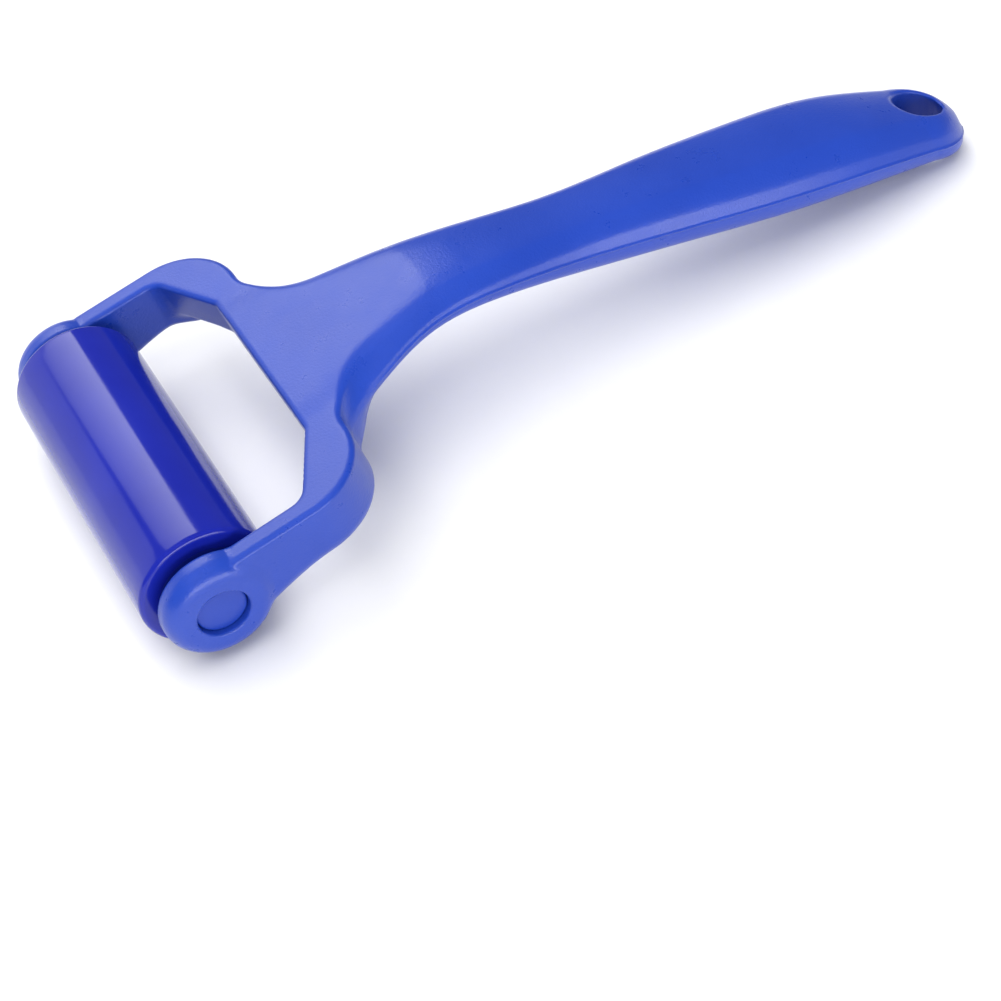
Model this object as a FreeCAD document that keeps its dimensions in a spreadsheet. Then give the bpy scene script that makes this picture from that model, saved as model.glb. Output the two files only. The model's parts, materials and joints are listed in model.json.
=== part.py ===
"""Hand roller: a soft silicone roller that turns between the two arms of a one-piece moulded handle.

The design frame has its origin on the roller's axis, midway between the ears:
+X points to the handle, +Y along the roller's axis, +Z out of the fork's flat top face.
Each piece is then tipped and lifted by its Placement, so that the roller and the
grip's heel both stand on Z = 0, with X = 0 halfway along. All lengths are millimetres.
"""
import FreeCAD, Part
import math
import os

import Sketcher

Vector = FreeCAD.Vector

DIMENSIONS = {
    # Roller
    "roller_length": 50.8,
    "roller_diameter": 20.0,
    "sleeve_wall": 3.0,
    "sleeve_rim_round": 0.7,
    "core_wall": 2.0,
    # End plugs
    "flange_thickness": 1.5,
    "flange_rebate": 1.0,
    "spigot_length": 8.0,
    "spigot_wall": 1.5,
    "thrust_collar_diameter": 10.0,
    "side_play": 0.3,
    "journal_clearance": 0.08,
    "journal_recess": 1.0,
    "journal_chamfer": 0.35,
    # Ears
    "ear_radius": 8.3,
    "ear_inner": 27.0,
    "ear_outer": 31.3,
    "ear_rim_round": 2.8,
    "bore_diameter": 7.8,
    # Fork plate, seen from above
    "arm_root_outer": 30.5,
    "arm_root_inner": 27.3,
    "elbow_start": 17.5,
    "elbow_outer": 30.5,
    "elbow_round": 10.53,
    "shoulder_reach": 28.03,
    "shoulder_half_width": 19.97,
    "neck_round": 13.85,
    "plate_reach": 40.0,
    "plate_end_half_width": 8.76,
    # Window between the roller and the throat
    "window_elbow_reach": 17.3,
    "window_elbow_half_width": 26.8,
    "throat_reach": 23.1,
    "throat_half_width": 15.8,
    "window_corner_round": 2.0,
    # Fork plate, seen from the side
    "fork_top": 7.1,
    "fork_depth": 7.9,
    "ramp_start_depth": 7.7,
    "ramp_end_reach": 33.0,
    "ramp_end_height": -0.4,
    "vault_height": -0.9,
    "vault_half_width": 21.5,
    "vault_foot_half_width": 28.0,
    "top_edge_round": 1.0,
    "window_edge_round": 0.7,
    "belly_edge_round": 2.5,
    "cutter_margin": 1.0,
    # Grip
    "tip_reach": 140.4,
    "section_pitch": 5.0,
    "crown_squareness": 0.66,
    "belly_squareness": 0.64,
    # Hanging hole through the tail
    "hanging_hole_reach": 134.5,
    "hanging_hole_diameter": 7.4,
}

# Stations of the grip: distance along X, height of the parting line, half width,
# crown above the parting line, belly below it
STATION_SIZES = ("reach", "height", "half_width", "crown", "belly")
STATIONS = {
    "root": (27.0, 2.3, 17.0, 4.7, 4.0),
    "neck": (36.6, 3.3, 12.7, 3.75, 3.7),
    "waist": (46.7, 3.7, 9.7, 3.3, 3.8),
    "bend": (58.9, 0.95, 8.2, 3.6, 4.5),
    "slim": (73.2, -4.0, 7.6, 4.3, 5.6),
    "hip": (89.4, -9.1, 8.8, 5.15, 6.3),
    "swell": (105.7, -14.4, 9.9, 5.8, 6.75),
    "heel": (119.9, -19.3, 9.8, 5.8, 6.4),
    "tail": (132.1, -25.0, 8.15, 4.75, 5.3),
}
for station, numbers in STATIONS.items():
    for size, number in zip(STATION_SIZES, numbers):
        DIMENSIONS[f"{station}_{size}"] = number

# Two places nearer than this are one place
TOUCH = 0.01
# The search for the tilt at rest
STEEPEST_TILT = 20.0
HALVINGS = 24
TIP_STEPS = (0.30, 0.55, 0.74, 0.87, 0.95, 0.99)
TIP_PLAN_POWER = 2.07
TIP_SIDE_POWER = 2.7

document = FreeCAD.newDocument("HandRoller")
sizes = document.addObject("Spreadsheet::Sheet", "Sizes")
for row, (alias, number) in enumerate(DIMENSIONS.items(), start=1):
    sizes.set(f"A{row}", alias)
    sizes.set(f"B{row}", str(number))
    sizes.setAlias(f"B{row}", alias)
document.recompute()


def value(expression):
    """The number that an expression of the sheet gives."""
    return float(sizes.evalExpression(expression))


# ---------------------------------------------------------------- sketching

def new_body(name):
    body = document.addObject("PartDesign::Body", name)
    body.Label = name
    return body


def new_sketch(body, name, role):
    """A sketch on one of the body's own origin planes."""
    sketch = body.newObject("Sketcher::SketchObject", name)
    plane = next(feature for feature in body.Origin.OriginFeatures if feature.Role == role)
    sketch.AttachmentSupport = [(plane, "")]
    sketch.MapMode = "FlatFace"
    return sketch


def bind(sketch, constraint, expression):
    index = sketch.addConstraint(constraint)
    sketch.setExpression(f"Constraints[{index}]", expression)


def arc_between(start, end, radius, turn):
    """The shorter arc from start to end; turn is +1 for anticlockwise, -1 for clockwise."""
    chord = end - start
    reach = math.sqrt(radius ** 2 - (chord.Length / 2) ** 2)
    sideways = Vector(-chord.y, chord.x, 0).normalize()
    centre = start + chord / 2 + sideways * reach * turn
    first, last = (start, end) if turn > 0 else (end, start)
    circle = Part.Circle(centre, Vector(0, 0, 1), radius)
    return Part.ArcOfCircle(
        circle,
        math.atan2(first.y - centre.y, first.x - centre.x),
        math.atan2(last.y - centre.y, last.x - centre.x),
    )


def draw_outline(sketch, corners):
    """Closes a loop through the corners, which are (x, y) or (x, y, radius, turn) expressions.

    With a radius, the edge that leaves the corner is an arc, otherwise it is a line.
    """
    points = [Vector(value(corner[0]), value(corner[1]), 0) for corner in corners]
    edges = []
    for number, corner in enumerate(corners):
        start, end = points[number], points[(number + 1) % len(corners)]
        if len(corner) == 2:
            edges.append((sketch.addGeometry(Part.LineSegment(start, end)), 1, 2))
            continue
        radius, turn = corner[2:]
        arc = sketch.addGeometry(arc_between(start, end, value(radius), turn))
        edges.append((arc, 1, 2) if turn > 0 else (arc, 2, 1))
        bind(sketch, Sketcher.Constraint("Radius", arc, value(radius)), radius)
    for number, (edge, start, _) in enumerate(edges):
        previous_edge, _, previous_end = edges[number - 1]
        sketch.addConstraint(Sketcher.Constraint("Coincident", previous_edge, previous_end, edge, start))
        x, y = corners[number][:2]
        bind(sketch, Sketcher.Constraint("DistanceX", -1, 1, edge, start, points[number].x), x)
        bind(sketch, Sketcher.Constraint("DistanceY", -1, 1, edge, start, points[number].y), y)


def draw_circle(sketch, radius):
    circle = sketch.addGeometry(Part.Circle(Vector(), Vector(0, 0, 1), value(radius)))
    sketch.addConstraint(Sketcher.Constraint("Coincident", circle, 3, -1, 1))
    bind(sketch, Sketcher.Constraint("Radius", circle, value(radius)), radius)


def turn_profile(body, name, corners):
    """Turns a closed (radius, distance along Y) profile about the Y axis."""
    sketch = new_sketch(body, name + "Profile", "XY_Plane")
    draw_outline(sketch, corners)
    revolution = body.newObject("PartDesign::Revolution", name)
    revolution.Profile = sketch
    revolution.ReferenceAxis = (sketch, ["V_Axis"])
    revolution.Angle = 360
    document.recompute()
    return revolution


def round_edges(body, name, feature, chosen, radius):
    """Rounds the feature's edges that the chosen function accepts."""
    names = [f"Edge{number}" for number, edge in enumerate(feature.Shape.Edges, start=1) if chosen(edge)]
    fillet = body.newObject("PartDesign::Fillet", name)
    fillet.Base = (feature, names)
    fillet.setExpression("Radius", radius)
    document.recompute()
    return fillet


# ---------------------------------------------------------------- roller

def build_silicone_sleeve():
    body = new_body("silicone_sleeve")
    half = "Sizes.roller_length / 2"
    outer = "Sizes.roller_diameter / 2"
    inner = f"{outer} - Sizes.sleeve_wall"
    rim = "Sizes.sleeve_rim_round"
    turn_profile(body, "Sleeve", [
        (inner, f"-{half}"),
        (f"{outer} - {rim}", f"-{half}", rim, 1),
        (outer, f"-{half} + {rim}"),
        (outer, f"{half} - {rim}", rim, 1),
        (f"{outer} - {rim}", half),
        (inner, half),
    ])
    return body


def build_roller_core():
    """The tube inside the sleeve, rebated at both ends for the plugs' flanges."""
    body = new_body("roller_core")
    half = "Sizes.roller_length / 2"
    outer = "Sizes.roller_diameter / 2 - Sizes.sleeve_wall"
    inner = f"{outer} - Sizes.core_wall"
    rebate = f"{outer} - Sizes.flange_rebate"
    shelf = f"{half} - Sizes.flange_thickness"
    turn_profile(body, "Core", [
        (inner, f"-({shelf})"),
        (rebate, f"-({shelf})"),
        (rebate, f"-{half}"),
        (outer, f"-{half}"),
        (outer, half),
        (rebate, half),
        (rebate, shelf),
        (inner, shelf),
    ])
    return body


def build_end_plug(name, side):
    """Spigot, flange, thrust collar and journal in one moulding; side is +1 or -1 along Y."""
    body = new_body(name)
    roller_end = "Sizes.roller_length / 2"
    flange = "Sizes.roller_diameter / 2 - Sizes.sleeve_wall - Sizes.flange_rebate"
    spigot = "Sizes.roller_diameter / 2 - Sizes.sleeve_wall - Sizes.core_wall"
    hollow = f"{spigot} - Sizes.spigot_wall"
    journal = "Sizes.bore_diameter / 2 - Sizes.journal_clearance"
    shelf = f"{roller_end} - Sizes.flange_thickness"
    collar_end = "Sizes.ear_inner - Sizes.side_play"
    journal_end = "Sizes.ear_outer - Sizes.journal_recess"
    spigot_end = f"{shelf} - Sizes.spigot_length"
    profile = [
        ("0", shelf),
        (hollow, shelf),
        (hollow, spigot_end),
        (spigot, spigot_end),
        (spigot, shelf),
        (flange, shelf),
        (flange, roller_end),
        ("Sizes.thrust_collar_diameter / 2", roller_end),
        ("Sizes.thrust_collar_diameter / 2", collar_end),
        (journal, collar_end),
        (journal, f"{journal_end} - Sizes.journal_chamfer"),
        (f"{journal} - Sizes.journal_chamfer", journal_end),
        ("0", journal_end),
    ]
    turn_profile(body, "Plug", [(radius, f"{side} * ({distance})") for radius, distance in profile])
    return body


# ---------------------------------------------------------------- handle frame

def fork_outline():
    """The fork from above, from the ears to the end of the plate inside the neck."""
    left = [
        ("0", "-Sizes.arm_root_outer"),
        ("Sizes.elbow_start", "-Sizes.elbow_outer", "Sizes.elbow_round", 1),
        ("Sizes.shoulder_reach", "-Sizes.shoulder_half_width", "Sizes.neck_round", -1),
        ("Sizes.plate_reach", "-Sizes.plate_end_half_width"),
    ]
    right = [
        ("Sizes.plate_reach", "Sizes.plate_end_half_width", "Sizes.neck_round", -1),
        ("Sizes.shoulder_reach", "Sizes.shoulder_half_width", "Sizes.elbow_round", 1),
        ("Sizes.elbow_start", "Sizes.elbow_outer"),
        ("0", "Sizes.arm_root_outer"),
    ]
    window = [
        ("0", "Sizes.arm_root_inner"),
        ("Sizes.window_elbow_reach", "Sizes.window_elbow_half_width"),
        ("Sizes.throat_reach", "Sizes.throat_half_width"),
        ("Sizes.throat_reach", "-Sizes.throat_half_width"),
        ("Sizes.window_elbow_reach", "-Sizes.window_elbow_half_width"),
        ("0", "-Sizes.arm_root_inner"),
    ]
    return left + right + window


def edge_middle(edge):
    return edge.valueAt((edge.FirstParameter + edge.LastParameter) / 2)


def near_window(point):
    """True for a point on the window's walls, false for one on the fork's outside."""
    if point.x < value("Sizes.window_elbow_reach"):
        return abs(point.y) < value("(Sizes.arm_root_inner + Sizes.elbow_outer) / 2")
    inside_width = abs(point.y) < value("Sizes.window_elbow_half_width + Sizes.cutter_margin")
    return inside_width and point.x < value("Sizes.throat_reach + Sizes.cutter_margin")


def build_fork():
    body = new_body("fork")
    plan = new_sketch(body, "ForkPlan", "XY_Plane")
    plan.setExpression("AttachmentOffset.Base.z", "-Sizes.fork_depth")
    draw_outline(plan, fork_outline())
    plate = body.newObject("PartDesign::Pad", "ForkPlate")
    plate.Profile = plan
    plate.setExpression("Length", "Sizes.fork_top + Sizes.fork_depth")
    document.recompute()

    below = "-Sizes.fork_depth - Sizes.cutter_margin"
    beyond = "Sizes.plate_reach + Sizes.cutter_margin"
    ramp = new_sketch(body, "UndersideRamp", "XZ_Plane")
    draw_outline(ramp, [
        ("-Sizes.cutter_margin", "-Sizes.ramp_start_depth"),
        ("-Sizes.cutter_margin", below),
        (beyond, below),
        (beyond, "Sizes.ramp_end_height"),
        ("Sizes.ramp_end_reach", "Sizes.ramp_end_height"),
    ])
    underside = body.newObject("PartDesign::Pocket", "Underside")
    underside.Profile = ramp
    underside.SideType = "Symmetric"
    underside.setExpression("Length", "4 * Sizes.elbow_outer")
    document.recompute()

    fork_top = value("Sizes.fork_top")
    plate_end = value("Sizes.plate_reach")

    def is_upright(edge):
        return edge.BoundBox.XLength < TOUCH and edge.BoundBox.YLength < TOUCH

    def is_window_corner(edge):
        middle = edge_middle(edge)
        return is_upright(edge) and near_window(middle) and middle.x > TOUCH

    def is_shoulder(edge):
        return is_upright(edge) and abs(edge_middle(edge).x - value("Sizes.shoulder_reach")) < TOUCH

    def is_rim(edge, window):
        middle = edge_middle(edge)
        ends = middle.x < TOUCH or middle.x > plate_end - TOUCH
        return not ends and near_window(middle) == window

    def on_top(edge):
        return edge.BoundBox.ZMin > fork_top - TOUCH

    def on_belly(edge):
        box = edge.BoundBox
        flat = box.XLength + box.YLength > 10 * TOUCH
        return flat and box.ZMax < value("Sizes.ramp_end_height") + TOUCH

    roundings = [
        ("WindowCorners", is_window_corner, "Sizes.window_corner_round"),
        ("Shoulders", is_shoulder, "Sizes.window_corner_round"),
        ("TopEdges", lambda edge: on_top(edge) and is_rim(edge, False), "Sizes.top_edge_round"),
        ("WindowTopEdges", lambda edge: on_top(edge) and is_rim(edge, True), "Sizes.window_edge_round"),
        ("BellyEdges", lambda edge: on_belly(edge) and is_rim(edge, False), "Sizes.belly_edge_round"),
        ("WindowBellyEdges", lambda edge: on_belly(edge) and is_rim(edge, True), "Sizes.top_edge_round"),
    ]
    shape = underside
    for name, chosen, radius in roundings:
        shape = round_edges(body, name, shape, chosen, radius)

    vault = new_sketch(body, "UndersideVault", "YZ_Plane")
    draw_outline(vault, [
        ("Sizes.vault_half_width", "Sizes.vault_height"),
        ("-Sizes.vault_half_width", "Sizes.vault_height"),
        ("-Sizes.vault_foot_half_width", below),
        ("Sizes.vault_foot_half_width", below),
    ])
    hollow = body.newObject("PartDesign::Pocket", "VaultedUnderside")
    hollow.Profile = vault
    hollow.SideType = "Symmetric"
    hollow.setExpression("Length", "4 * Sizes.plate_reach")
    document.recompute()

    rim = "Sizes.ear_rim_round"
    small = "Sizes.window_edge_round"
    for name, side in (("LeftEar", -1), ("RightEar", 1)):
        profile = [
            ("0", "Sizes.ear_inner"),
            (f"Sizes.ear_radius - {small}", "Sizes.ear_inner", small, side),
            ("Sizes.ear_radius", f"Sizes.ear_inner + {small}"),
            ("Sizes.ear_radius", f"Sizes.ear_outer - {rim}", rim, side),
            (f"Sizes.ear_radius - {rim}", "Sizes.ear_outer"),
            ("0", "Sizes.ear_outer"),
        ]
        turn_profile(body, name, [(corner[0], f"{side} * ({corner[1]})") + corner[2:] for corner in profile])

    bore = new_sketch(body, "BoreCircle", "XZ_Plane")
    draw_circle(bore, "Sizes.bore_diameter / 2")
    bores = body.newObject("PartDesign::Pocket", "EarBores")
    bores.Profile = bore
    bores.SideType = "Symmetric"
    bores.setExpression("Length", "4 * Sizes.ear_outer")
    document.recompute()
    return body


def oval_section(reach, height, half_width, crown, belly):
    """A rounded section across the grip, in a plane of constant X, as four quarter curves."""
    crown_pull = value("Sizes.crown_squareness")
    belly_pull = value("Sizes.belly_squareness")
    quarters = [
        (1, crown, crown_pull),
        (-1, crown, crown_pull),
        (-1, -belly, belly_pull),
        (1, -belly, belly_pull),
    ]
    edges = []
    for number, (side, rise, pull) in enumerate(quarters):
        flank = Vector(reach, side * half_width, height)
        flank_handle = Vector(reach, side * half_width, height + rise * pull)
        ridge_handle = Vector(reach, side * half_width * pull, height + rise)
        ridge = Vector(reach, 0, height + rise)
        poles = [flank, flank_handle, ridge_handle, ridge]
        if number % 2:
            poles.reverse()
        quarter = Part.BezierCurve()
        quarter.setPoles(poles)
        edges.append(quarter.toShape())
    return Part.Wire(edges)


def slopes_through(knots, levels):
    """The slope at each knot of the smooth curve (natural cubic spline) through the levels."""
    count = len(knots)
    gaps = [knots[i + 1] - knots[i] for i in range(count - 1)]
    rises = [(levels[i + 1] - levels[i]) / gaps[i] for i in range(count - 1)]
    lower, diagonal, upper, right = [0.0] * count, [2.0] * count, [0.0] * count, [0.0] * count
    upper[0], right[0] = 1.0, 3 * rises[0]
    lower[-1], right[-1] = 1.0, 3 * rises[-1]
    for i in range(1, count - 1):
        lower[i], upper[i] = gaps[i], gaps[i - 1]
        diagonal[i] = 2 * (gaps[i - 1] + gaps[i])
        right[i] = 3 * (gaps[i] * rises[i - 1] + gaps[i - 1] * rises[i])
    for i in range(1, count):
        share = lower[i] / diagonal[i - 1]
        diagonal[i] -= share * upper[i - 1]
        right[i] -= share * right[i - 1]
    slopes = [0.0] * count
    slopes[-1] = right[-1] / diagonal[-1]
    for i in range(count - 2, -1, -1):
        slopes[i] = (right[i] - upper[i] * slopes[i + 1]) / diagonal[i]
    return slopes


def smooth_level(knots, levels, slopes, place):
    """The height of the smooth curve at a place between two knots."""
    left = max(i for i in range(len(knots) - 1) if knots[i] <= place)
    gap = knots[left + 1] - knots[left]
    along = (place - knots[left]) / gap
    return (
        levels[left] * (1 + 2 * along) * (1 - along) ** 2
        + levels[left + 1] * (3 - 2 * along) * along ** 2
        + gap * slopes[left] * along * (1 - along) ** 2
        - gap * slopes[left + 1] * (1 - along) * along ** 2
    )


def build_grip():
    """The grip: a smooth skin through sections between its stations, closed over the tip.

    Its squarish ovals are no sketch arcs, so the skin is made straight from the sheet's sizes.
    """
    reaches = [value(f"Sizes.{station}_reach") for station in STATIONS]
    curves = []
    for field in ("height", "half_width", "crown", "belly"):
        levels = [value(f"Sizes.{station}_{field}") for station in STATIONS]
        curves.append((levels, slopes_through(reaches, levels)))
    count = round((reaches[-1] - reaches[0]) / value("Sizes.section_pitch"))
    places = [reaches[0] + (reaches[-1] - reaches[0]) * i / count for i in range(count)] + [reaches[-1]]
    sections = [
        oval_section(place, *(smooth_level(reaches, levels, slopes, place) for levels, slopes in curves))
        for place in places
    ]
    tail_height, tail_half_width, tail_crown, tail_belly = [levels[-1] for levels, _ in curves]
    fall = curves[0][1][-1]
    run = value("Sizes.tip_reach") - reaches[-1]
    for step in TIP_STEPS:
        plan = (1 - step ** TIP_PLAN_POWER) ** (1 / TIP_PLAN_POWER)
        side = (1 - step ** TIP_SIDE_POWER) ** (1 / TIP_SIDE_POWER)
        sections.append(oval_section(
            reaches[-1] + run * step,
            tail_height + fall * run * step,
            tail_half_width * plan,
            tail_crown * side,
            tail_belly * side,
        ))
    grip = document.addObject("Part::Feature", "grip")
    grip.Shape = Part.makeLoft(sections, True, False)
    return grip


def build_handle_frame():
    fork = build_fork()
    grip = build_grip()
    blank = document.addObject("Part::Fuse", "handle_blank")
    blank.Base = fork
    blank.Tool = grip
    hole = document.addObject("Part::Cylinder", "hanging_hole")
    hole.setExpression("Radius", "Sizes.hanging_hole_diameter / 2")
    hole.setExpression("Height", "2 * Sizes.tip_reach")
    hole.setExpression("Placement.Base.x", "Sizes.hanging_hole_reach")
    hole.setExpression("Placement.Base.z", "-Sizes.tip_reach")
    frame = document.addObject("Part::Cut", "handle_frame")
    frame.Base = blank
    frame.Tool = hole
    frame.Label = "handle_frame"
    document.recompute()
    return frame


def rest_placement(shape):
    """Tips the design about the roller's axis until heel and roller are level, and centres it along X."""
    radius = value("Sizes.roller_diameter / 2")
    axis = Vector(0, 1, 0)
    shallow, steep = 0.0, STEEPEST_TILT
    for _ in range(HALVINGS):
        tilt = (shallow + steep) / 2
        tipped = shape.copy()
        tipped.rotate(Vector(), axis, -tilt)
        box = tipped.optimalBoundingBox(False)
        if box.ZMin < -radius:
            shallow = tilt
        else:
            steep = tilt
    turn = FreeCAD.Rotation(axis, -steep)
    print(f"tipped by {steep:.4f} degrees")
    return FreeCAD.Placement(Vector((radius - box.XMax) / 2, 0, radius), turn)


def main():
    frame = build_handle_frame()
    pieces = [
        frame,
        build_silicone_sleeve(),
        build_roller_core(),
        build_end_plug("left_end_plug", -1),
        build_end_plug("right_end_plug", 1),
    ]
    placement = rest_placement(frame.Shape)
    print(f"roller axis at X {placement.Base.x:.4f}, Z {placement.Base.z:.4f}")
    for piece in pieces:
        piece.Placement = placement
    document.recompute()

    for item in document.Objects:
        if {"Invalid", "Error"} & set(item.State):
            raise RuntimeError(f"{item.Name} is {item.State}")
    os.makedirs("parts", exist_ok=True)
    for piece in pieces:
        shape = piece.Shape
        if shape.isNull() or not shape.isValid():
            raise RuntimeError(f"{piece.Label} has no valid shape")
        shape.exportStep(f"parts/{piece.Label}.step")
        box = shape.optimalBoundingBox(False)
        low = f"{box.XMin:.2f} {box.YMin:.2f} {box.ZMin:.2f}"
        high = f"{box.XMax:.2f} {box.YMax:.2f} {box.ZMax:.2f}"
        print(f"{piece.Label}: {len(shape.Solids)} solid, {shape.Volume:.0f} mm3, {low} to {high}")


main()
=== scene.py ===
"""Studio picture of the hand roller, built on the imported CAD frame.

The handle's shape is one smooth surface, given by a distance formula in the tool's own
design frame in millimetres: origin on the roller's axis midway between the ears, +X to the
handle, +Z out of the fork's flat top. It is meshed there and then laid down as the CAD frame says.
"""

import json
import math

import bmesh
import bpy
import numpy as np
from mathutils import Matrix, Vector


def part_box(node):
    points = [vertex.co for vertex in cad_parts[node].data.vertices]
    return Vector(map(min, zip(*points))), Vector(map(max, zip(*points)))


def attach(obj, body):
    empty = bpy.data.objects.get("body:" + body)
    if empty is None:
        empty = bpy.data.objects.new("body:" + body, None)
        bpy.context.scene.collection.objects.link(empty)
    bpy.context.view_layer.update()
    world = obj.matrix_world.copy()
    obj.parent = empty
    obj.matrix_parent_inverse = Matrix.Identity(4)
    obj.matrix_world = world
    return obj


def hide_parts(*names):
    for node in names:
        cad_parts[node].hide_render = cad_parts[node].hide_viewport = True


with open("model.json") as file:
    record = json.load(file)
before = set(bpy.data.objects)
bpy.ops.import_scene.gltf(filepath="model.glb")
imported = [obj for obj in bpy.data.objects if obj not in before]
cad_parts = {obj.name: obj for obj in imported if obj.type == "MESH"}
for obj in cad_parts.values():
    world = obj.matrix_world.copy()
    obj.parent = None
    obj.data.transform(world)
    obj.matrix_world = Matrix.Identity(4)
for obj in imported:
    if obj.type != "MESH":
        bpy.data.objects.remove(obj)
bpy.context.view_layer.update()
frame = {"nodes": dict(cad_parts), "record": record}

MM = 0.001
RECORD = frame["record"]
HANGING_HOLE = RECORD["mounts"][0]
AXLE = Vector(RECORD["behaviour"]["joints"][0]["pos_m"])
TILT = math.atan2(-HANGING_HOLE["axis"][0], HANGING_HOLE["axis"][2])
DESIGN_TO_REST = Matrix.Translation(AXLE) @ Matrix.Rotation(-TILT, 4, "Y") @ Matrix.Scale(MM, 4)


def box_size(node):
    low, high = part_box(node)
    return [(high[i] - low[i]) / MM for i in range(3)]


def in_design(point):
    return DESIGN_TO_REST.inverted() @ Vector(point)


# Sizes taken from the CAD frame
ROLLER_RADIUS = box_size("silicone_sleeve")[0] / 2
ROLLER_HALF = box_size("silicone_sleeve")[1] / 2
CORE_RADIUS = box_size("roller_core")[0] / 2
FLANGE_RADIUS = box_size("left_end_plug")[0] / 2
EAR_OUTER = box_size("handle_frame")[1] / 2
HOLE_RADIUS = HANGING_HOLE["dims"]["r_mm"]
HOLE_REACH = in_design(HANGING_HOLE["pos_m"]).x
JOURNAL_END = -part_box("left_end_plug")[0][1] / MM
PLUG_DEPTH = box_size("left_end_plug")[1]

# Ears and axle
EAR_RADIUS = 8.3
EAR_INNER = 27.0
EAR_RIM_ROUND = 2.7
EAR_INNER_ROUND = 0.7
BORE_RADIUS = 3.9
BORE_ROUND = 0.3
JOURNAL_RADIUS = 3.82
JOURNAL_ROUND = 0.35
COLLAR_RADIUS = 5.0
COLLAR_GAP = 0.3
FLANGE_THICKNESS = 1.5
SPIGOT_RADIUS = 5.0
SPIGOT_WALL = 1.5
SLEEVE_RIM_ROUND = 0.8

# Fork: corners of half of its outline and of half of its window, each with its rounding
FAR_BEHIND = -20.0
FORK_OUTLINE = (
    (FAR_BEHIND, 30.5, 0),
    (28.1, 30.5, 10.6),
    (28.1, 17.5, 5.0),
    (33.4, 9.3, 10.0),
    (56.0, 3.0, 1.0),
    (56.0, 0, 0),
)
FORK_WINDOW = ((FAR_BEHIND, 27.4, 0), (17.2, 27.0, 3.0), (23.1, 15.9, 1.2), (23.1, 0, 0))
FORK_TOP = 7.1
# The plate sinks into the grip, but their common top stays flat up to the neck
SINK_REACHES = (34.0, 56.0)
SINK_HEIGHTS = (FORK_TOP, 3.0)
# Past this reach the flat top lifts clear of the grip, with the square of the way past it
TOP_FADE_REACH = 46.0
TOP_FADE = 0.03
TOP_ROUND = 1.05
ARM_START = 4.6
ARM_STEP_ROUND = 0.35
# The underside, seen from the side, from the ears to inside the neck
UNDERSIDE_REACHES = (-1.0, 7.0, 14.5, 23.0, 30.0, 36.0, 42.0)
UNDERSIDE_HEIGHTS = (-7.6, -5.6, -3.8, -3.5, -3.2, -2.6, 0.0)
# Near the shoulder the outer wall flares out downwards
FLARE_REACH = 31.5
FLARE_LENGTH = 4.0
FLARE = 0.06
# The rounding below the outer wall narrows from the elbow to the shoulder
ROUND_REACHES = (22.0, 28.0)
UNDERSIDE_ROUNDS = (2.8, 2.0)
VAULT_HEIGHT = -0.9
VAULT_RIM = 4.6
VAULT_ROUND = 1.4
WINDOW_TOP_ROUND = 0.95
WINDOW_DRAFT = 0.05
WINDOW_BELLY_ROUND = 1.8
EAR_BLEND = 0.5
NECK_BLEND = 3.0

# Stations along the grip: reach, height of the parting line, half width, crown, belly
GRIP_STATIONS = (
    (27.0, 2.3, 16.4, 4.7, 4.0),
    (36.6, 3.3, 12.7, 3.75, 3.7),
    (46.7, 3.7, 9.7, 3.3, 3.8),
    (58.9, 0.95, 8.2, 3.6, 4.5),
    (73.2, -4.0, 7.6, 4.3, 5.6),
    (89.4, -9.1, 8.8, 5.15, 6.3),
    (105.7, -14.4, 9.9, 5.55, 6.75),
    (119.9, -19.3, 9.8, 5.55, 6.4),
    (132.1, -25.0, 8.15, 4.75, 5.3),
)
DOME_SQUARENESS = 2.0
BELLY_SQUARENESS = 2.3
# Above the parting line the flanks are walls with draft, under a dome that is wider than the grip
WALL_DRAFT = 0.42
DOME_SPREAD = 1.35
WALL_ROUND = 0.24
TIP_REACH = 140.4
TIP_PLAN_POWER = 2.07
TIP_SIDE_POWER = 2.7
TIP_END = 0.999
GRIP_DEPTH = -34.0
HOLE_ROUND = 0.7

# Ridge along the parting line of the mould
RIDGE_HEIGHT = 0.15
RIDGE_WIDTH = 0.2
RIDGE_START = 34.0
RIDGE_FADE_IN = 6.0

# Meshing: the grid's cell and margin, the rounds of evening out, and the finer faces at the ridge
CELL = 0.45
GRID_MARGIN = 1.13
RELAXINGS = 8
RELAX_SHARE = 0.5
FINAL_PULLS = 3
RIDGE_BELT = 1.5 * CELL
RIDGE_CUTS = 3
# The step for slopes, the least slope that is trusted, and what keeps divisors and powers from zero
PROBE = 0.02
LEAST_SLOPE_SQUARED = 0.2
TINY = 1e-9
TINY_POWER_SUM = 1e-12
# Turned pieces; points nearer to each other than SAME_PLACE become one
SLEEVE_SEGMENTS = 192
SLEEVE_BELTS = 24
PLUG_SEGMENTS = 96
ARC_STEPS = 8
SAME_PLACE = 1e-5
SLEEVE_SHARP_ANGLE = math.radians(50)
PLUG_SHARP_ANGLE = math.radians(35)

# For each material, the two linear colours between which its noise goes
HANDLE_BLUES = ((0.012, 0.047, 0.37), (0.015, 0.055, 0.41))
PLUG_BLUES = ((0.008, 0.040, 0.35), (0.010, 0.046, 0.39))
CORE_BLUES = ((0.006, 0.014, 0.22), (0.008, 0.018, 0.26))
SLEEVE_BLUES = ((0.007, 0.014, 0.29), (0.009, 0.018, 0.33))
FLOOR_GREYS = ((0.86, 0.86, 0.87), (0.88, 0.88, 0.88))
# The values of noise at which the first and second colour, or the low and high value, are reached
NOISE_SPAN = (0.3, 0.7)
# The streaks' noise is drawn out along the roller
STREAK_STRETCH = (1, 0.08, 1)
PLASTIC_IOR = 1.5
SILICONE_IOR = 1.45
FLOOR_ROUGHNESS = 0.9

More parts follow.
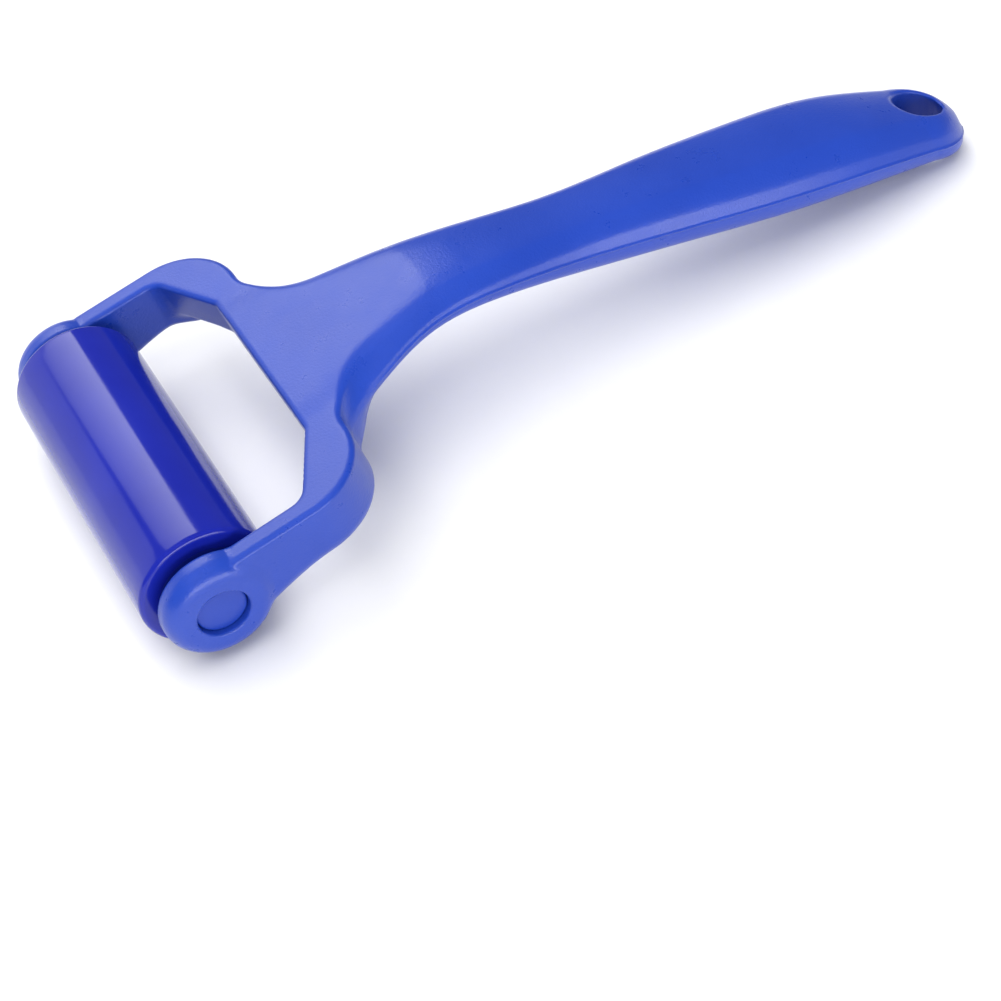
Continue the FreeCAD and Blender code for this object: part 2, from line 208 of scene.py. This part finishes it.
# Studio, in metres and degrees: name, azimuth, elevation, distance, width, height, then the glow
# at a card's right and left edge as the tool sees it, or the power of a lamp
CARDS = (
    ("back_softbox", -11.5, 46, 0.9, 0.68, 0.5, 4.8, 1.4),
    ("back_wall", -32, 14, 1.3, 2.1, 0.64, 1.2, 0.9),
    ("low_front", 180, 9, 1.2, 1.3, 0.36, 6.0, 6.0),
)
SOFTBOXES = (
    ("front_softbox", -165, 45, 1.3, 1.0, 1.0, 5),
    ("overhead_softbox", -90, 80, 1.3, 1.4, 1.4, 18),
)
FLOOR_HALF = 3.0
SKY_COLOUR = (0.95, 0.97, 1.0, 1)
SKY_GLOW = 0.2
# The camera's place and turn in the design frame, its lens and sensor in millimetres, and how far
# it sees in metres
CAMERA_PLACE = Vector((6.74, -241.2, 233.71))
CAMERA_ANGLES = (37.956, 16.652, -29.479)
CAMERA_LENS = 82.1
CAMERA_SENSOR = 36
CAMERA_CLIP_END = 20


# ---------------------------------------------------------------- distances

def round_union(a, b, radius):
    """The nearer of two distances, with the inside corner between them filled to the radius."""
    near = np.hypot(np.maximum(radius - a, 0), np.maximum(radius - b, 0))
    return np.maximum(radius, np.minimum(a, b)) - near


def round_common(a, b, radius):
    """The farther of two distances, with the outside corner between them rounded to the radius."""
    return -round_union(-a, -b, radius)


def rounded_path(corners):
    """The lines and arcs of an open path through (x, y, radius) corners."""
    points = [Vector(corner[:2]) for corner in corners]
    pieces = []
    start = points[0]
    radii = [corner[2] for corner in corners]
    for before, corner, after, radius in zip(points, points[1:], points[2:], radii[1:]):
        toward = (corner - before).normalized()
        onward = (after - corner).normalized()
        bend = math.atan2(toward.x * onward.y - toward.y * onward.x, toward.dot(onward))
        side = math.copysign(1, bend)
        trim = radius * math.tan(abs(bend) / 2)
        enter = corner - toward * trim
        centre = enter + Vector((-toward.y, toward.x)) * radius * side
        middle = (corner - centre).normalized()
        pieces.append(("line", start, enter))
        pieces.append(("arc", centre, radius, side, middle, math.cos(bend / 2)))
        start = corner + onward * trim
    pieces.append(("line", start, points[-1]))
    return pieces


def path_distance(x, y, pieces):
    """Distance to a path, positive to the left of its travel."""
    best = np.full(np.broadcast(x, y).shape, np.inf)
    for kind, *sizes in pieces:
        if kind == "line":
            start, end = sizes
            along = (end - start).normalized()
            run = np.clip((x - start.x) * along.x + (y - start.y) * along.y, 0, (end - start).length)
            across = along.x * (y - start.y) - along.y * (x - start.x)
            away = np.hypot(x - start.x - run * along.x, y - start.y - run * along.y)
            signed = np.copysign(away, across)
        else:
            centre, radius, side, middle, spread = sizes
            out = np.hypot(x - centre.x, y - centre.y) + TINY
            facing = ((x - centre.x) * middle.x + (y - centre.y) * middle.y) / out
            signed = np.where(facing >= spread, side * (radius - out), np.inf)
        best = np.where(np.abs(signed) < np.abs(best), signed, best)
    return best


def smooth_curve(knots, levels):
    """The natural cubic curve through the levels at the knots, as a function."""
    gaps = np.diff(knots)
    slopes = np.diff(levels) / gaps
    system = np.eye(len(knots))
    right = np.zeros(len(knots))
    for i in range(1, len(knots) - 1):
        system[i, i - 1:i + 2] = gaps[i - 1], 2 * (gaps[i - 1] + gaps[i]), gaps[i]
        right[i] = 6 * (slopes[i] - slopes[i - 1])
    bends = np.linalg.solve(system, right)

    def level(place):
        left = np.clip(np.searchsorted(knots, place, side="right") - 1, 0, len(gaps) - 1)
        gap = gaps[left]
        after = (place - knots[left]) / gap
        before = 1 - after
        sag = (before ** 3 - before) * bends[left] + (after ** 3 - after) * bends[left + 1]
        return before * levels[left] + after * levels[left + 1] + sag * gap ** 2 / 6

    return level


GRIP_REACHES, *GRIP_LEVELS = np.array(GRIP_STATIONS).T
GRIP_CURVES = [smooth_curve(GRIP_REACHES, levels) for levels in GRIP_LEVELS]
UNDERSIDE_CURVE = smooth_curve(np.array(UNDERSIDE_REACHES), np.array(UNDERSIDE_HEIGHTS))
OUTLINE_PIECES = rounded_path(FORK_OUTLINE)
WINDOW_PIECES = rounded_path(FORK_WINDOW)
# Slope of the parting line past its last station
FALL = (GRIP_CURVES[0](GRIP_REACHES[-1]) - GRIP_CURVES[0](GRIP_REACHES[-1] - PROBE)) / PROBE


def parting_height(x):
    """Height of the parting line along the grip."""
    inside = np.clip(x, GRIP_REACHES[0], GRIP_REACHES[-1])
    return GRIP_CURVES[0](inside) + FALL * np.maximum(x - GRIP_REACHES[-1], 0)


def grip_distance(x, y, z):
    """The grip: a dome between drafted walls, over an oval belly, all closed round the tip."""
    inside = np.clip(x, GRIP_REACHES[0], GRIP_REACHES[-1])
    half_width, crown, belly = [curve(inside) for curve in GRIP_CURVES[1:]]
    rise = z - parting_height(x)
    above = rise > 0
    power = np.where(above, DOME_SQUARENESS, BELLY_SQUARENESS)
    run = TIP_REACH - GRIP_REACHES[-1]
    step = np.clip((x - GRIP_REACHES[-1]) / run, 0, TIP_END)
    plan_left = 1 - step ** TIP_PLAN_POWER
    side_left = 1 - step ** TIP_SIDE_POWER
    wall_width = half_width * plan_left ** (1 / TIP_PLAN_POWER)
    width = wall_width * np.where(above, DOME_SPREAD, 1)
    height = np.where(above, crown, belly) * side_left ** (1 / TIP_SIDE_POWER)
    across = y / width
    upward = np.abs(rise) / height
    total = across ** power + upward ** power + TINY_POWER_SUM
    level = total ** (1 / power)
    shrink = total ** (1 / power - 1)
    slope_y = shrink * across ** (power - 1) / width
    slope_z = shrink * upward ** (power - 1) / height
    narrowing = across ** power * step ** (TIP_PLAN_POWER - 1) / plan_left
    lowering = upward ** power * step ** (TIP_SIDE_POWER - 1) / side_left
    slope_x = shrink * (narrowing + lowering) / run
    steepness = np.sqrt(slope_x ** 2 + slope_y ** 2 + slope_z ** 2) + TINY
    oval = (level - 1) / steepness
    wall = (y - wall_width + WALL_DRAFT * rise) / math.hypot(1, WALL_DRAFT)
    corner = WALL_ROUND * wall_width
    return np.maximum(np.where(above, round_common(oval, wall, corner), oval), x - TIP_REACH)


def plain_distance(x, y, z):
    """How far a point lies outside the handle without its parting ridge; negative inside."""
    y = np.abs(y)
    flare = FLARE * np.exp(-((x - FLARE_REACH) / FLARE_LENGTH) ** 2)
    outline = path_distance(x, y, OUTLINE_PIECES) - flare * (FORK_TOP - z)
    window = WINDOW_DRAFT * (FORK_TOP - z) - path_distance(x, y, WINDOW_PIECES)
    underside = UNDERSIDE_CURVE(np.clip(x, UNDERSIDE_REACHES[0], UNDERSIDE_REACHES[-1]))
    vault = round_common(z - VAULT_HEIGHT, outline + VAULT_RIM, VAULT_ROUND)
    skin = round_common(outline, underside - z, np.interp(x, ROUND_REACHES, UNDERSIDE_ROUNDS))
    skin = round_common(skin, -vault, VAULT_ROUND)
    skin = round_common(skin, z - np.interp(x, SINK_REACHES, SINK_HEIGHTS), TOP_ROUND)
    skin = round_union(skin, grip_distance(x, y, z), NECK_BLEND)
    top = FORK_TOP + TOP_FADE * np.maximum(x - TOP_FADE_REACH, 0) ** 2
    skin = round_common(skin, z - top, TOP_ROUND)
    edge = np.interp(z, (VAULT_HEIGHT, FORK_TOP / 2), (WINDOW_BELLY_ROUND, WINDOW_TOP_ROUND))
    skin = round_common(skin, window, edge)
    skin = round_common(skin, ARM_START - x, ARM_STEP_ROUND)
    ear = round_common(np.hypot(x, z) - EAR_RADIUS, y - EAR_OUTER, EAR_RIM_ROUND)
    ear = round_common(ear, EAR_INNER - y, EAR_INNER_ROUND)
    skin = round_union(skin, ear, EAR_BLEND)
    skin = round_common(skin, BORE_RADIUS - np.hypot(x, z), BORE_ROUND)
    return round_common(skin, HOLE_RADIUS - np.hypot(x - HOLE_REACH, y), HOLE_ROUND)


def handle_distance(x, y, z):
    """How far a point lies outside the handle's skin; negative inside."""
    ridge = RIDGE_HEIGHT * np.exp(-((z - parting_height(x)) / RIDGE_WIDTH) ** 2)
    fade_in = np.clip((x - RIDGE_START) / RIDGE_FADE_IN, 0, 1)
    clear_of_hole = np.hypot(x - HOLE_REACH, y) > HOLE_RADIUS + HOLE_ROUND
    return plain_distance(x, y, z) - ridge * fade_in * clear_of_hole


def distance_at(points):
    return handle_distance(points[:, 0], points[:, 1], points[:, 2])


def slope_at(points):
    """Gradient of the distance, by small steps along each axis."""
    columns = []
    for axis in np.eye(3) * PROBE:
        columns.append((distance_at(points + axis) - distance_at(points - axis)) / (2 * PROBE))
    return np.stack(columns, 1)


def pulled_to_skin(points):
    """The points moved along the slope on to the skin, by no more than a cell."""
    slope = slope_at(points)
    steps = distance_at(points) / np.maximum((slope ** 2).sum(1), LEAST_SLOPE_SQUARED)
    return points - np.clip(slope * steps[:, None], -CELL, CELL)


# ---------------------------------------------------------------- meshing

def net_over_skin(low, high):
    """Points and four-sided faces that wrap the handle: one point for each grid cell on its skin."""
    counts = np.ceil((high - low) / CELL).astype(int) + 1
    axes = [low[i] + CELL * np.arange(counts[i]) for i in range(3)]
    x, y, z = np.meshgrid(*axes, indexing="ij", sparse=True)
    inside = plain_distance(x, y, z) < 0
    filled = sum(
        inside[i:counts[0] - 1 + i, j:counts[1] - 1 + j, k:counts[2] - 1 + k].astype(np.int8)
        for i in (0, 1) for j in (0, 1) for k in (0, 1)
    )
    on_skin = (filled > 0) & (filled < 8)
    cells = np.argwhere(on_skin)
    number = np.full(on_skin.shape, -1)
    number[tuple(cells.T)] = np.arange(len(cells))
    faces = []
    for axis in range(3):
        near = np.take(inside, range(counts[axis] - 1), axis)
        far = np.take(inside, range(1, counts[axis]), axis)
        places = np.argwhere(near != far)
        ring = []
        for second, third in ((-1, -1), (0, -1), (0, 0), (-1, 0)):
            cell = places.copy()
            cell[:, (axis + 1) % 3] += second
            cell[:, (axis + 2) % 3] += third
            ring.append(number[tuple(cell.T)])
        ring = np.stack(ring, 1)
        outward = near[tuple(places.T)]
        faces.append(np.where(outward[:, None], ring, ring[:, ::-1]))
    return low + CELL * (cells + 0.5), np.concatenate(faces)


def relaxed(points, faces):
    """The points evened out over the skin."""
    links = np.concatenate([faces[:, [i, (i + 1) % 4]] for i in range(4)])
    meeting = np.bincount(links[:, 0], minlength=len(points))
    for _ in range(RELAXINGS):
        total = np.stack([
            np.bincount(links[:, 0], points[links[:, 1], axis], minlength=len(points))
            for axis in range(3)
        ], 1)
        points = points + RELAX_SHARE * (total / meeting[:, None] - points)
        points = pulled_to_skin(points)
    return pulled_to_skin(points)


def refine_along_ridge(mesh):
    """Splits the faces along the parting line finely enough for its thin ridge."""
    shape = bmesh.new()
    shape.from_mesh(mesh)
    edges = set()
    for face in shape.faces:
        centre = face.calc_center_median()
        above_ridge = centre.z - float(parting_height(np.array(centre.x)))
        if centre.x > RIDGE_START and abs(above_ridge) < RIDGE_BELT:
            edges.update(face.edges)
    bmesh.ops.subdivide_edges(shape, edges=list(edges), cuts=RIDGE_CUTS, use_grid_fill=True)
    shape.to_mesh(mesh)
    shape.free()


def mesh_points(mesh):
    flat = np.empty(len(mesh.vertices) * 3)
    mesh.vertices.foreach_get("co", flat)
    return flat.reshape(-1, 3)


def lay_down(mesh, normals):
    """Moves a mesh from the design frame to the rest frame, with its exact normals."""
    mesh.transform(DESIGN_TO_REST)
    mesh.polygons.foreach_set("use_smooth", [True] * len(mesh.polygons))
    turn = np.array(DESIGN_TO_REST.to_3x3().normalized())
    mesh.normals_split_custom_set_from_vertices((normals @ turn.T).tolist())
    mesh.update()


def add_object(name, mesh, material, body):
    thing = bpy.data.objects.new(name, mesh)
    bpy.context.scene.collection.objects.link(thing)
    mesh.materials.append(material)
    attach(thing, body)
    return thing


# ---------------------------------------------------------------- pieces

def make_handle(material):
    low = np.array((-EAR_RADIUS, -EAR_OUTER, GRIP_DEPTH)) - GRID_MARGIN
    high = np.array((TIP_REACH, EAR_OUTER, EAR_RADIUS)) + GRID_MARGIN
    points, faces = net_over_skin(low, high)
    points = relaxed(points, faces)
    mesh = bpy.data.meshes.new("handle_skin")
    mesh.from_pydata(points.tolist(), [], faces.tolist())
    refine_along_ridge(mesh)
    points = mesh_points(mesh)
    for _ in range(FINAL_PULLS):
        points = pulled_to_skin(points)
    mesh.vertices.foreach_set("co", points.ravel())
    normals = slope_at(points)
    normals /= np.linalg.norm(normals, axis=1)[:, None]
    lay_down(mesh, normals)
    handle = add_object("handle_skin", mesh, material, "handle")
    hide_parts("handle_frame")


def arc_corner(radius_from, along_from, radius_to, along_to):
    """Points of a quarter circle between two ends of a turned profile, bulging outward."""
    points = []
    for i in range(ARC_STEPS + 1):
        angle = math.pi / 2 * i / ARC_STEPS
        points.append((
            radius_from + (radius_to - radius_from) * math.sin(angle),
            along_from + (along_to - along_from) * (1 - math.cos(angle)),
        ))
    return points


def turned_mesh(name, profile, segments):
    """A closed mesh, turned about the roller's axis from (radius, distance along Y) points."""
    rings = len(profile)
    vertices = []
    for i in range(segments):
        angle = 2 * math.pi * i / segments
        cosine, sine = math.cos(angle), math.sin(angle)
        vertices += [(radius * cosine, along, radius * sine) for radius, along in profile]
    faces = []
    for i in range(segments):
        here, there = i * rings, (i + 1) % segments * rings
        for j in range(rings):
            following = (j + 1) % rings
            faces.append((here + j, here + following, there + following, there + j))
    mesh = bpy.data.meshes.new(name)
    mesh.from_pydata(vertices, [], faces)
    shape = bmesh.new()
    shape.from_mesh(mesh)
    bmesh.ops.remove_doubles(shape, verts=shape.verts, dist=SAME_PLACE)
    bmesh.ops.dissolve_degenerate(shape, edges=shape.edges, dist=SAME_PLACE)
    bmesh.ops.recalc_face_normals(shape, faces=shape.faces)
    shape.to_mesh(mesh)
    shape.free()
    return mesh


def mark_sharp_edges(mesh, angle):
    """Smooth shading, broken where faces meet at more than the angle."""
    mesh.polygons.foreach_set("use_smooth", [True] * len(mesh.polygons))
    mesh.set_sharp_from_angle(angle=angle)


def make_sleeve(material):
    """The silicone sleeve: a tube with rounded rims, cut into belts along its length."""
    half, outer, inner = ROLLER_HALF, ROLLER_RADIUS, CORE_RADIUS
    straight = half - SLEEVE_RIM_ROUND
    rim = arc_corner(outer - SLEEVE_RIM_ROUND, -half, outer, -straight)
    profile = [(inner, -half)] + rim
    profile += [(outer, -straight + 2 * straight * i / SLEEVE_BELTS) for i in range(1, SLEEVE_BELTS)]
    profile += [(radius, -along) for radius, along in reversed(rim)]
    profile += [(inner, half)]
    mesh = turned_mesh("sleeve_skin", profile, SLEEVE_SEGMENTS)
    mark_sharp_edges(mesh, SLEEVE_SHARP_ANGLE)
    mesh.transform(DESIGN_TO_REST)
    sleeve = add_object("sleeve_skin", mesh, material, "roller")
    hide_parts("silicone_sleeve")


def make_plug(name, side, material):
    """Journal, collar, flange and hollow spigot of one end plug."""
    shelf = ROLLER_HALF - FLANGE_THICKNESS
    spigot_end = JOURNAL_END - PLUG_DEPTH
    collar_end = EAR_INNER - COLLAR_GAP
    soft = JOURNAL_ROUND
    profile = [
        (0, shelf),
        (SPIGOT_RADIUS - SPIGOT_WALL, shelf),
        (SPIGOT_RADIUS - SPIGOT_WALL, spigot_end),
        (SPIGOT_RADIUS, spigot_end),
        (SPIGOT_RADIUS, shelf),
        (FLANGE_RADIUS, shelf),
        (FLANGE_RADIUS, ROLLER_HALF - soft),
        (FLANGE_RADIUS - soft, ROLLER_HALF),
        (COLLAR_RADIUS, ROLLER_HALF),
        (COLLAR_RADIUS, collar_end),
        (JOURNAL_RADIUS, collar_end),
    ]
    journal_rim = arc_corner(JOURNAL_RADIUS - soft, 0, JOURNAL_RADIUS, soft)
    profile += [(radius, JOURNAL_END - along) for radius, along in reversed(journal_rim)]
    profile += [(0, JOURNAL_END)]
    mirrored = [(radius, side * along) for radius, along in profile]
    mesh = turned_mesh(name + "_skin", mirrored, PLUG_SEGMENTS)
    mark_sharp_edges(mesh, PLUG_SHARP_ANGLE)
    mesh.transform(DESIGN_TO_REST)
    plug = add_object(name + "_skin", mesh, material, "roller")
    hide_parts(name)


# ---------------------------------------------------------------- materials

def new_material(name):
    material = bpy.data.materials.new(name)
    material.use_nodes = True
    nodes = material.node_tree.nodes
    return material, nodes, material.node_tree.links, nodes["Principled BSDF"]


def add_noise(nodes, links, coordinates, scale, detail, roughness=0.5):
    """Noise; the scale is how many of its grains fit in one unit of the coordinates."""
    noise = nodes.new("ShaderNodeTexNoise")
    noise.inputs["Scale"].default_value = scale
    noise.inputs["Detail"].default_value = detail
    noise.inputs["Roughness"].default_value = roughness
    links.new(coordinates, noise.inputs["Vector"])
    return noise.outputs["Fac"]


def add_ramp(nodes, links, factor, colours):
    """Two colours along a factor."""
    ramp = nodes.new("ShaderNodeValToRGB")
    for element, place, colour in zip(ramp.color_ramp.elements, NOISE_SPAN, colours):
        element.position = place
        element.color = (*colour, 1)
    links.new(factor, ramp.inputs["Fac"])
    return ramp.outputs["Color"]


def add_range(nodes, links, factor, low, high):
    """A value that goes from low to high with a factor."""
    spread = nodes.new("ShaderNodeMapRange")
    spread.inputs["From Min"].default_value = NOISE_SPAN[0]
    spread.inputs["From Max"].default_value = NOISE_SPAN[1]
    spread.inputs["To Min"].default_value = low
    spread.inputs["To Max"].default_value = high
    links.new(factor, spread.inputs["Value"])
    return spread.outputs["Result"]


def add_bump(nodes, links, height, depth, strength, before=None):
    """A normal bent by a height, on top of the bump before it."""
    bump = nodes.new("ShaderNodeBump")
    bump.inputs["Distance"].default_value = depth
    bump.inputs["Strength"].default_value = strength
    links.new(height, bump.inputs["Height"])
    if before is not None:
        links.new(before, bump.inputs["Normal"])
    return bump.outputs["Normal"]


def satin_plastic(name, blues, roughness, grain):
    """Moulded plastic: a fine pebbled grain, faint cloudiness in its colour and uneven sheen."""
    material, nodes, links, shader = new_material(name)
    place = nodes.new("ShaderNodeTexCoord").outputs["Object"]
    clouds = add_noise(nodes, links, place, scale=60, detail=3)
    pebbles = add_noise(nodes, links, place, scale=2600, detail=2, roughness=0.6)
    scuffs = add_noise(nodes, links, place, scale=240, detail=6, roughness=0.7)
    sheen = add_range(nodes, links, scuffs, low=roughness - 0.03, high=roughness + 0.05)
    coarse = add_bump(nodes, links, scuffs, depth=0.00003, strength=0.2)
    fine = add_bump(nodes, links, pebbles, depth=0.00008, strength=grain, before=coarse)
    links.new(add_ramp(nodes, links, clouds, blues), shader.inputs["Base Color"])
    links.new(sheen, shader.inputs["Roughness"])
    links.new(fine, shader.inputs["Normal"])
    shader.inputs["IOR"].default_value = PLASTIC_IOR
    return material


def glossy_silicone():
    """Mirror-smooth silicone with faint streaks along the roller and a little dust."""
    material, nodes, links, shader = new_material("glossy silicone")
    place = nodes.new("ShaderNodeTexCoord").outputs["Object"]
    stretch = nodes.new("ShaderNodeMapping")
    stretch.inputs["Scale"].default_value = STREAK_STRETCH
    links.new(place, stretch.inputs["Vector"])
    streaks = add_noise(nodes, links, stretch.outputs["Vector"], scale=900, detail=4)
    clouds = add_noise(nodes, links, place, scale=80, detail=2)
    dust = add_noise(nodes, links, place, scale=1500, detail=1)
    sheen = add_range(nodes, links, streaks, low=0.10, high=0.16)
    ripple = add_bump(nodes, links, streaks, depth=0.00002, strength=0.12)
    specks = add_bump(nodes, links, dust, depth=0.00002, strength=0.03, before=ripple)
    links.new(add_ramp(nodes, links, clouds, SLEEVE_BLUES), shader.inputs["Base Color"])
    links.new(sheen, shader.inputs["Roughness"])
    links.new(specks, shader.inputs["Normal"])
    shader.inputs["IOR"].default_value = SILICONE_IOR
    return material


def floor_material():
    """A pale matt floor with faint fibres."""
    material, nodes, links, shader = new_material("pale floor")
    place = nodes.new("ShaderNodeTexCoord").outputs["Object"]
    fibres = add_noise(nodes, links, place, scale=90, detail=4)
    links.new(add_ramp(nodes, links, fibres, FLOOR_GREYS), shader.inputs["Base Color"])
    shader.inputs["Roughness"].default_value = FLOOR_ROUGHNESS
    return material


# ---------------------------------------------------------------- studio

def flat_sheet(name, across, up, material):
    """A rectangle in its own XY plane, from its half width and half height."""
    mesh = bpy.data.meshes.new(name)
    corners = [(-across, -up, 0), (across, -up, 0), (across, up, 0), (-across, up, 0)]
    mesh.from_pydata(corners, [], [(0, 1, 2, 3)])
    mesh.materials.append(material)
    return mesh


def make_floor():
    mesh = flat_sheet("floor", FLOOR_HALF, FLOOR_HALF, floor_material())
    floor = bpy.data.objects.new("floor", mesh)
    bpy.context.scene.collection.objects.link(floor)


def face_the_tool(thing, azimuth, elevation, distance):
    """Puts a lamp or card round the tool, facing it. The azimuth turns from +Y towards +X."""
    across, up = math.radians(azimuth), math.radians(elevation)
    direction = Vector((math.sin(across) * math.cos(up), math.cos(across) * math.cos(up), math.sin(up)))
    thing.location = direction * distance
    thing.rotation_euler = direction.to_track_quat("Z", "Y").to_euler()
    bpy.context.scene.collection.objects.link(thing)


def add_softbox(name, azimuth, elevation, distance, width, height, power):
    """A soft lamp that shows in no reflection."""
    light = bpy.data.lights.new(name, "AREA")
    light.shape = "RECTANGLE"
    light.size = width
    light.size_y = height
    light.energy = power
    lamp = bpy.data.objects.new(name, light)
    lamp.visible_glossy = False
    face_the_tool(lamp, azimuth, elevation, distance)


def add_card(name, azimuth, elevation, distance, width, height, glow_right, glow_left):
    """A glowing card facing the tool, whose glow changes evenly from its right edge to its left."""
    material = bpy.data.materials.new(name)
    material.use_nodes = True
    nodes, links = material.node_tree.nodes, material.node_tree.links
    nodes.clear()
    place = nodes.new("ShaderNodeTexCoord")
    split = nodes.new("ShaderNodeSeparateXYZ")
    fade = nodes.new("ShaderNodeMapRange")
    glow = nodes.new("ShaderNodeEmission")
    output = nodes.new("ShaderNodeOutputMaterial")
    fade.inputs["From Min"].default_value = -width / 2
    fade.inputs["From Max"].default_value = width / 2
    fade.inputs["To Min"].default_value = glow_right
    fade.inputs["To Max"].default_value = glow_left
    links.new(place.outputs["Object"], split.inputs["Vector"])
    links.new(split.outputs["X"], fade.inputs["Value"])
    links.new(fade.outputs["Result"], glow.inputs["Strength"])
    links.new(glow.outputs["Emission"], output.inputs["Surface"])
    card = bpy.data.objects.new(name, flat_sheet(name, width / 2, height / 2, material))
    face_the_tool(card, azimuth, elevation, distance)


def light_studio():
    """Cards that show as bands of light, lamps that show in no reflection, and a dim sky."""
    for card in CARDS:
        add_card(*card)
    for softbox in SOFTBOXES:
        add_softbox(*softbox)
    world = bpy.data.worlds.new("studio")
    world.use_nodes = True
    background = world.node_tree.nodes["Background"]
    background.inputs["Color"].default_value = SKY_COLOUR
    background.inputs["Strength"].default_value = SKY_GLOW
    bpy.context.scene.world = world
    bpy.context.scene.view_settings.view_transform = "Standard"


def place_camera():
    """The camera, given in the design frame in millimetres and laid down with it."""
    lens = bpy.data.cameras.new("camera")
    lens.lens = CAMERA_LENS
    lens.sensor_width = CAMERA_SENSOR
    lens.clip_end = CAMERA_CLIP_END
    camera = bpy.data.objects.new("camera", lens)
    aim = Vector([math.radians(angle) for angle in CAMERA_ANGLES])
    turn = Matrix.Rotation(aim.z, 4, "Z") @ Matrix.Rotation(aim.y, 4, "Y")
    turn = turn @ Matrix.Rotation(aim.x, 4, "X")
    place = Matrix.Translation(DESIGN_TO_REST @ CAMERA_PLACE)
    camera.matrix_world = place @ Matrix.Rotation(-TILT, 4, "Y") @ turn
    bpy.context.scene.collection.objects.link(camera)
    bpy.context.scene.camera = camera


def finish_core(material):
    """The core keeps its CAD mesh."""
    core = frame["nodes"]["roller_core"]
    core.data.materials.clear()
    core.data.materials.append(material)


def main():
    handle_plastic = satin_plastic("satin blue plastic", HANDLE_BLUES, roughness=0.29, grain=0.5)
    plug_plastic = satin_plastic("plug plastic", PLUG_BLUES, roughness=0.34, grain=0.2)
    core_plastic = satin_plastic("core plastic", CORE_BLUES, roughness=0.32, grain=0.2)
    make_handle(handle_plastic)
    make_sleeve(glossy_silicone())
    make_plug("left_end_plug", -1, plug_plastic)
    make_plug("right_end_plug", 1, plug_plastic)
    finish_core(core_plastic)
    make_floor()
    light_studio()
    place_camera()


main()
